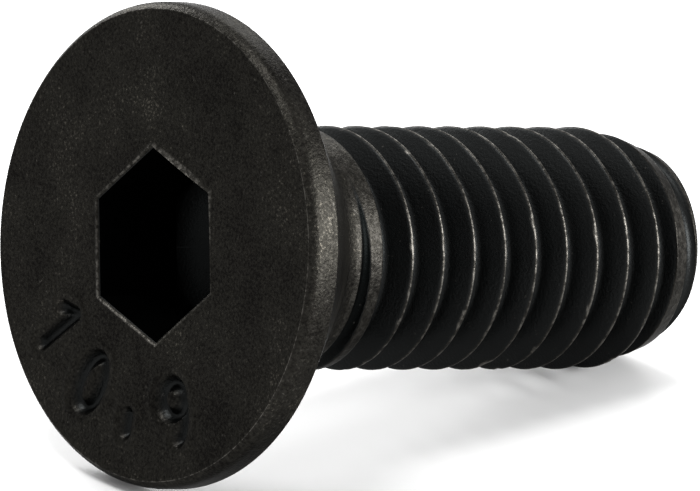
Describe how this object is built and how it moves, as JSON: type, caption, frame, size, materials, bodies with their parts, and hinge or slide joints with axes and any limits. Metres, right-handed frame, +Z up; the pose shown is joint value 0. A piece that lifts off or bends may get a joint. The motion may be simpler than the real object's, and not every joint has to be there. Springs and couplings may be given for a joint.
{
  "type": "countersunk socket screw",
  "caption": "Flat countersunk head screw with a hexagon socket, a coarse metric thread up to the neck and a chamfered tip, in black-oxide steel.",
  "frame": {"origin": "on the floor, under the middle of the screw as it lies", "axes": "+Z up, +X from the head towards the tip along the floor; the screw's axis falls by the resting tilt towards the tip"},
  "size_m": [0.017, 0.0118, 0.0116],
  "materials": {
    "black_oxide_steel": "black oxide on hardened steel, fine matt grain, bright worn thread crests"
  },
  "bodies": {
    "root": {"countersunk_socket_screw": "black_oxide_steel"}
  },
  "joints": []
}
